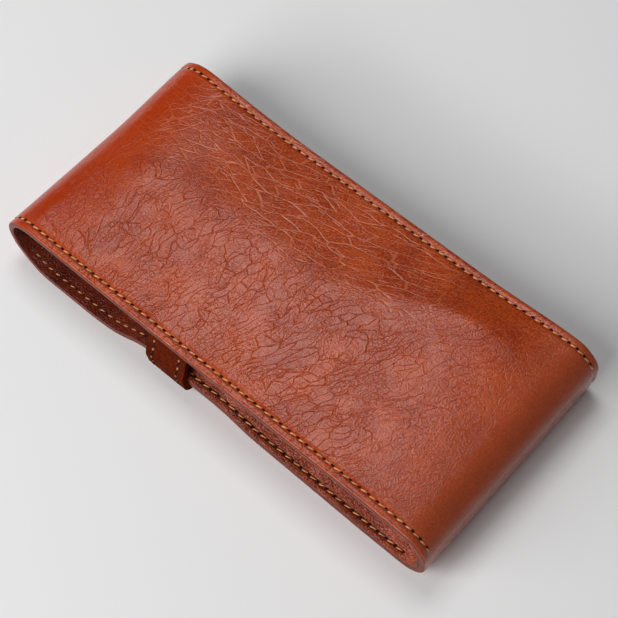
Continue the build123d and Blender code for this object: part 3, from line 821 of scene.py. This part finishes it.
# Keeper strap
strapShape = {
    "start": -23.0, "width": 15.5, "sideGap": 0.3, "corner": 3.5, "shoulder": 3.5, "tail": 5.5,
    "leather": 1.1, "rows": 14, "faceRound": 0.3, "gluedRound": 0.12,
    "lean": 2.4, "leanZ": (8.0, 17.5), "nearLean": 0.75, "sideY": (34.0, 43.0), "pullZ": (1.0, 13.0),
    "inset": 2.7, "firstY": 1.65, "bedZ": 0.2,
    "sideStitches": 4, "sidePitch": 3.5, "sideStart": 1.5, "sideBed": 0.04, "sideSpan": 1.2,
}
strapHalf = half + strapShape["sideGap"] + caseSize["strapBand"]
strapTailZ = caseSize["height"] - wall - caseSize["gussetLeather"]
strapRise = strapTailZ - strapShape["corner"] - strapShape["shoulder"]
strapSteps = [
    (strapShape["tail"],),
    (strapShape["shoulder"], 90),
    (strapRise,),
    (strapShape["corner"], 90),
    (2 * (strapHalf - strapShape["corner"]),),
    (strapShape["corner"], 90),
    (strapRise,),
    (strapShape["shoulder"], 90),
    (strapShape["tail"],),
]
strapTailY = strapHalf - strapShape["shoulder"] - strapShape["tail"]
strapPath = (-strapTailY, strapTailZ, 180, strapSteps)
strapMiddle = strapShape["start"] + strapShape["width"] / 2
strapRows = [(-0.5 + i / strapShape["rows"]) * strapShape["width"] for i in range(strapShape["rows"] + 1)]


# The strap is pulled snug round the lower corners and leans in towards its tails
def strapSettled(point):
    x, y, z = point
    side = smoothStep(*strapShape["sideY"], abs(y))
    pull = side * (1 - smoothStep(*strapShape["pullZ"], z))
    share = strapShape["nearLean"] + (1 - strapShape["nearLean"]) * side
    lean = strapShape["lean"] * smoothStep(*strapShape["leanZ"], z) * share
    tucked = Vector((x, y - math.copysign(pull + lean, y), z + pull))
    return tucked + slump(x, y, z)


def strapBand(name, depth, outerRound, innerRound, node):
    strip = layStrip(name, strapPath, strapRows, depth)
    thicken(strip, strapShape["leather"], outerRound, innerRound)
    # The profile was laid along X: turn it across the case
    strip.data.transform(Matrix.Rotation(radians(90), 4, "Z"))
    strip.data.transform(Matrix.Translation((strapMiddle * mm, 0, 0)))
    for v in strip.data.vertices:
        v.co = strapSettled(v.co / mm) * mm
    strip.data.materials.clear()
    strip.data.materials.append(strapLeather)
    smoothByAngle(strip)
    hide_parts(node)
    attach(strip, "case")


outsideRounds = (strapShape["faceRound"], strapShape["gluedRound"])
insideRounds = (strapShape["gluedRound"], strapShape["faceRound"])
strapBand("strapOuter", 0, *outsideRounds, "strap_outer")
strapBand("strapLining", strapShape["leather"], *insideRounds, "strap_lining")
print("strap ready")

# Stitches: a plump thread that dives at both ends, and the needle hole between two of them
stitchShape = {
    "long": 2.3, "wide": 0.54, "tall": 0.52, "fullness": 3.2, "dive": 0.25, "divePower": 2.5,
    "pitch": 3.3, "slant": 14.0, "waver": 3.0, "waverScale": 0.7, "lift": 0.08, "shading": 60,
    "holeSize": (0.66, 0.36, 0.12), "holeSlant": 12.0, "holeLift": 0.01,
}


def stitchPattern():
    deselectAll()
    bpy.ops.mesh.primitive_uv_sphere_add(segments=10, ring_count=7, radius=1)
    obj = bpy.context.object
    obj.name = "stitchPattern"
    mesh = obj.data
    mesh.transform(Matrix.Rotation(radians(90), 4, "Y"))
    for v in mesh.vertices:
        reach = v.co.x
        fuller = (1 - abs(reach) ** stitchShape["fullness"]) ** 0.5 if abs(reach) < 1 else 0
        across = math.hypot(v.co.y, v.co.z)
        if across > 1e-6:
            v.co.y *= fuller / across
            v.co.z *= fuller / across
        v.co.x = reach * stitchShape["long"] / 2 * mm
        v.co.y *= stitchShape["wide"] / 2 * mm
        v.co.z *= stitchShape["tall"] / 2 * mm
        v.co.z -= stitchShape["dive"] * mm * abs(reach) ** stitchShape["divePower"]
    smoothByAngle(obj, stitchShape["shading"])
    return obj


def holePattern():
    deselectAll()
    bpy.ops.mesh.primitive_uv_sphere_add(segments=8, ring_count=5, radius=1)
    obj = bpy.context.object
    obj.name = "holePattern"
    obj.data.transform(Matrix.Diagonal((*[size * mm for size in stitchShape["holeSize"]], 1)))
    smoothByAngle(obj, stitchShape["shading"])
    return obj


stitchMaster = stitchPattern()
holeMaster = holePattern()


def stitchFrame(place, along, facing, lean):
    across = facing.cross(along)
    slant = along * cos(radians(lean)) + across * sin(radians(lean))
    side = facing.cross(slant)
    m = Matrix.Identity(4)
    for i, axis in enumerate((slant, side, facing)):
        m[0][i], m[1][i], m[2][i] = axis
    m.translation = place
    return m


# Places are (point, row direction, facing), in millimetres
def sewRow(name, places, thread, gap):
    made = []
    for point, along, facing in places:
        spot = Vector(point)
        lean = stitchShape["slant"] + stitchShape["waver"] * noise.noise(spot * stitchShape["waverScale"])
        end = spot + along * stitchShape["pitch"] / 2 + facing * stitchShape["holeLift"]
        for master, at, turn, finish in (
            (stitchMaster, spot, lean, thread),
            (holeMaster, end, stitchShape["holeSlant"], gap),
        ):
            piece = master.copy()
            piece.data = master.data.copy()
            piece.data.transform(stitchFrame(at * mm, along, facing, turn))
            piece.data.materials.clear()
            piece.data.materials.append(finish)
            bpy.context.collection.objects.link(piece)
            made.append(piece)
    deselectAll()
    for piece in made:
        piece.select_set(True)
    bpy.context.view_layer.objects.active = made[0]
    bpy.ops.object.join()
    made[0].name = name
    made[0].data.name = name
    return made[0]


# A row stands for its solids, and rides on one body, or stays where it lies when it spans two
def sewOn(name, places, solids, bodies, thread=seamThread, gap=needleHoleShade):
    row = sewRow(name, places, thread, gap)
    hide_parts(*solids)
    if len(bodies) == 2:
        bendWith(row, *bodies)
    else:
        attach(row, bodies[0])


def profileRow(path, y, face, depth, lead, tail, spread=False):
    total = pathLength(path[3])
    count = int((total - lead - tail) / stitchShape["pitch"]) + 1
    places = []
    for i in range(count):
        x, z, angle = alongPath(path, lead + i * stitchShape["pitch"])
        along = Vector((cos(radians(angle)), 0, sin(radians(angle))))
        inside = Vector((-sin(radians(angle)), 0, cos(radians(angle))))
        point = settled((x, y, z), -inside, spread) + inside * depth
        places.append((point, along, inside * face))
    return places


def bothEdges(path, y, *settings):
    return profileRow(path, -y, *settings) + profileRow(path, y, *settings)


# Where the rows start and end on their paths, and how deep they lie
seamRowShape = {
    "start": 1.65, "end": 1.0, "mouth": 2.0, "foot": 1.65, "flapInside": 9.0, "corner": 1.2,
    "bendAngle": 15.0, "dividerX": -9.0, "dividerLeather": 1.0, "proud": 0.12,
}
backRowPath = (
    bendHighX + bendShape["high"] * cos(radians(seamRowShape["bendAngle"])),
    caseSize["height"] - bendShape["high"] + bendShape["high"] * sin(radians(seamRowShape["bendAngle"])),
    90 + seamRowShape["bendAngle"],
    [(bendShape["high"], 90 - seamRowShape["bendAngle"]), (topLength,), (foldRadius, hingeTurn)],
)
frontRowPath = (frontShape["mouth"], frontLevel, 0, frontSteps)
dividerSteps = [(frontShape["stepStart"] - seamRowShape["dividerX"],)] + frontSteps[1:]
dividerRowPath = (seamRowShape["dividerX"], frontLevel, 0, dividerSteps)
flapRowPath = (*flapPath[:3], flapSteps[:7])
flapY = half - seamInset["flap"]
sunk = dipShape["groove"] - seamRowShape["proud"]
flangeFace = wall + caseSize["gussetLeather"] - stitchShape["lift"]
liningFace = wall - stitchShape["lift"]
footFace = wall + seamRowShape["dividerLeather"] - stitchShape["lift"]
edgeEnds = (seamRowShape["start"], seamRowShape["end"])
mouthEnds = (seamRowShape["mouth"], seamRowShape["foot"])

for side, sign in (("left", -1), ("right", 1)):
    sewOn("backStitches." + side, profileRow(backRowPath, sign * backY, -1, sunk, *edgeEnds),
          ["back_seam_" + side], ("case", "fold_upper"))
    sewOn("frontStitches." + side, profileRow(frontRowPath, sign * frontY, -1, sunk, *mouthEnds),
          ["front_seam_" + side], ("case",))
    sewOn("gussetStitches." + side, profileRow(frontRowPath, sign * frontY, 1, flangeFace, *mouthEnds),
          ["gusset_seam_" + side], ("case",))
sewOn("foldStitches", bothEdges(foldPath, backY, -1, sunk, *edgeEnds),
      ["fold_upper_seam", "fold_lower_seam"], ("fold_upper", "fold_lower"))

outerRows = bothEdges(flapRowPath, flapY, -1, sunk, *edgeEnds, True)
turnRadius = flapShape["corner"] - seamInset["flap"]
flapTurn = (flapShape["end"] - flapShape["corner"], -(flapShape["halfEnd"] - seamInset["flap"]), 0, [
    (turnRadius, 90), (2 * (flapShape["halfEnd"] - flapShape["corner"]),), (turnRadius, 90),
])
for i in range(int(pathLength(flapTurn[3]) / stitchShape["pitch"])):
    x, y, angle = alongPath(flapTurn, seamRowShape["corner"] + i * stitchShape["pitch"])
    along = Vector((cos(radians(angle)), sin(radians(angle)), 0))
    outerRows.append((Vector((x, y, flapLevel + sunk)), along, Vector((0, 0, -1))))
sewOn("flapStitchesOuter", outerRows, ["flap_seam_outer"], ("fold_lower", "flap"))
innerEnds = (seamRowShape["flapInside"], seamRowShape["end"])
innerRows = bothEdges(flapRowPath, flapY, 1, liningFace, *innerEnds, True)
sewOn("flapStitchesInner", innerRows, ["flap_seam_inner"], ("fold_lower", "flap"))

for side, sign in (("left", -1), ("right", 1)):
    y = sign * seamInset["divider"]
    sewOn("dividerStitches." + side, profileRow(dividerRowPath, y, 1, footFace, *mouthEnds),
          ["divider_seam_" + side], ("case",))


def strapRow(x):
    places = []
    for sign in (-1, 1):
        base = strapHalf - strapShape["corner"]
        for i in range(int(base / stitchShape["pitch"])):
            y = strapShape["firstY"] + i * stitchShape["pitch"]
            spot = strapSettled((x, sign * y, strapShape["bedZ"]))
            places.append((spot, Vector((0, sign, 0)), Vector((0, 0, -1))))
        y = sign * (strapHalf - strapShape["sideBed"])
        for i in range(strapShape["sideStitches"]):
            z = strapShape["corner"] + strapShape["sideStart"] + i * strapShape["sidePitch"]
            span = strapShape["sideSpan"]
            low, spot, high = (strapSettled((x, y, z + dz)) for dz in (-span, 0, span))
            along = (high - low).normalized()
            places.append((spot, along, along.cross(Vector((-sign, 0, 0)))))
    return places


firstX = strapShape["start"] + strapShape["inset"]
secondX = strapShape["start"] + strapShape["width"] - strapShape["inset"]
for which, x in (("first", firstX), ("second", secondX)):
    sewOn("strapStitches." + which, strapRow(x), ["strap_seam_" + which], ("case",),
          strapThread, strapHole)
for master in (stitchMaster, holeMaster):
    bpy.data.objects.remove(master, do_unlink=True)
print("stitches sewn")

# Floor, light and camera, in metres
studioShape = {
    "floorSize": 6, "floorColor": (0.88, 0.88, 0.88, 1), "floorRough": 0.9, "floorSpecular": 0.1,
    "fade": (0.24, 0.5), "backdrop": 0.72, "roomLight": 0.07,
}


def mixShaders(nodes, links, factor, seenByLight, seenByCamera, output):
    mix = nodes.new("ShaderNodeMixShader")
    links.new(factor, mix.inputs["Fac"])
    links.new(seenByLight, mix.inputs[1])
    links.new(seenByCamera, mix.inputs[2])
    links.new(mix.outputs["Shader"], output.inputs["Surface"])


deselectAll()
bpy.ops.mesh.primitive_plane_add(size=studioShape["floorSize"], location=(0, 0, 0))
floor = bpy.context.object
floor.name = "floor"
floorMaterial, nodes, links, shader = newMaterial("floorPaper")
shader.inputs["Base Color"].default_value = studioShape["floorColor"]
shader.inputs["Roughness"].default_value = studioShape["floorRough"]
shader.inputs["Specular IOR Level"].default_value = studioShape["floorSpecular"]
floor.data.materials.append(floorMaterial)

# Only the camera sees the pale backdrop: the far floor fades into it, and the light stays as it is
glow = nodes.new("ShaderNodeEmission")
glow.inputs["Strength"].default_value = studioShape["backdrop"]
where = nodes.new("ShaderNodeTexCoord").outputs["Object"]
fade = mapRange(nodes, links, vectorMath(nodes, links, "LENGTH", where), *studioShape["fade"])
seen = nodes.new("ShaderNodeLightPath").outputs["Is Camera Ray"]
seen = mathNode(nodes, links, "MULTIPLY", fade, seen)
mixShaders(nodes, links, seen, shader.outputs[0], glow.outputs[0], nodes["Material Output"])

world = bpy.data.worlds.new("studio")
bpy.context.scene.world = world
world.use_nodes = True
nodes, links = world.node_tree.nodes, world.node_tree.links
roomLight = nodes["Background"]
backdrop = nodes.new("ShaderNodeBackground")
for background, strength in ((roomLight, studioShape["roomLight"]), (backdrop, studioShape["backdrop"])):
    background.inputs["Color"].default_value = (1, 1, 1, 1)
    background.inputs["Strength"].default_value = strength
seen = nodes.new("ShaderNodeLightPath").outputs["Is Camera Ray"]
mixShaders(nodes, links, seen, roomLight.outputs[0], backdrop.outputs[0], nodes["World Output"])

# Place, size, brightness of the lamp's face, and the point that it looks at
lamps = {
    "windowLamp": ((-0.37, 0.27, 1.0), (0.52, 0.46), 5.0, (-0.37, 0.27, 0)),
    "fillLamp": ((-0.2, -1.0, 0.8), (1.1, 0.9), 3.75, (0, 0, 0)),
    "rimLamp": ((-0.4, -1.05, 0.42), (1.2, 0.2), 8.0, (0, 0, 0)),
}


def softLamp(name, place, size, brightness, target):
    deselectAll()
    bpy.ops.object.light_add(type="AREA", location=place)
    lamp = bpy.context.object
    lamp.name = name
    lamp.data.shape = "RECTANGLE"
    lamp.data.size, lamp.data.size_y = size
    lamp.data.energy = brightness * math.pi * size[0] * size[1]
    aim = Vector(target) - Vector(place)
    lamp.rotation_euler = aim.to_track_quat("-Z", "Y").to_euler()


for name, settings in lamps.items():
    softLamp(name, *settings)

cameraView = {
    "place": (0.170887, -0.177035, 0.449329),
    "right": (0.74922, 0.66214, -0.01544),
    "down": (0.57360, -0.66033, -0.48472),
    "forward": (-0.33115, 0.35430, -0.87454),
    "lens": 95.684,
    "sensor": 36.0,
    "nearest": 0.01,
}
cameraData = bpy.data.cameras.new("camera")
camera = bpy.data.objects.new("camera", cameraData)
bpy.context.collection.objects.link(camera)
cameraData.lens = cameraView["lens"]
cameraData.sensor_width = cameraView["sensor"]
cameraData.clip_start = cameraView["nearest"]
right, down, forward = (Vector(cameraView[axis]) for axis in ("right", "down", "forward"))
pose = Matrix.Identity(4)
for i, axis in enumerate((right, -down, -forward)):
    pose[0][i], pose[1][i], pose[2][i] = axis.normalized()
pose.translation = Vector(cameraView["place"])
camera.matrix_world = pose
bpy.context.scene.camera = camera
bpy.context.scene.view_settings.view_transform = "Standard"
print("light and camera set")
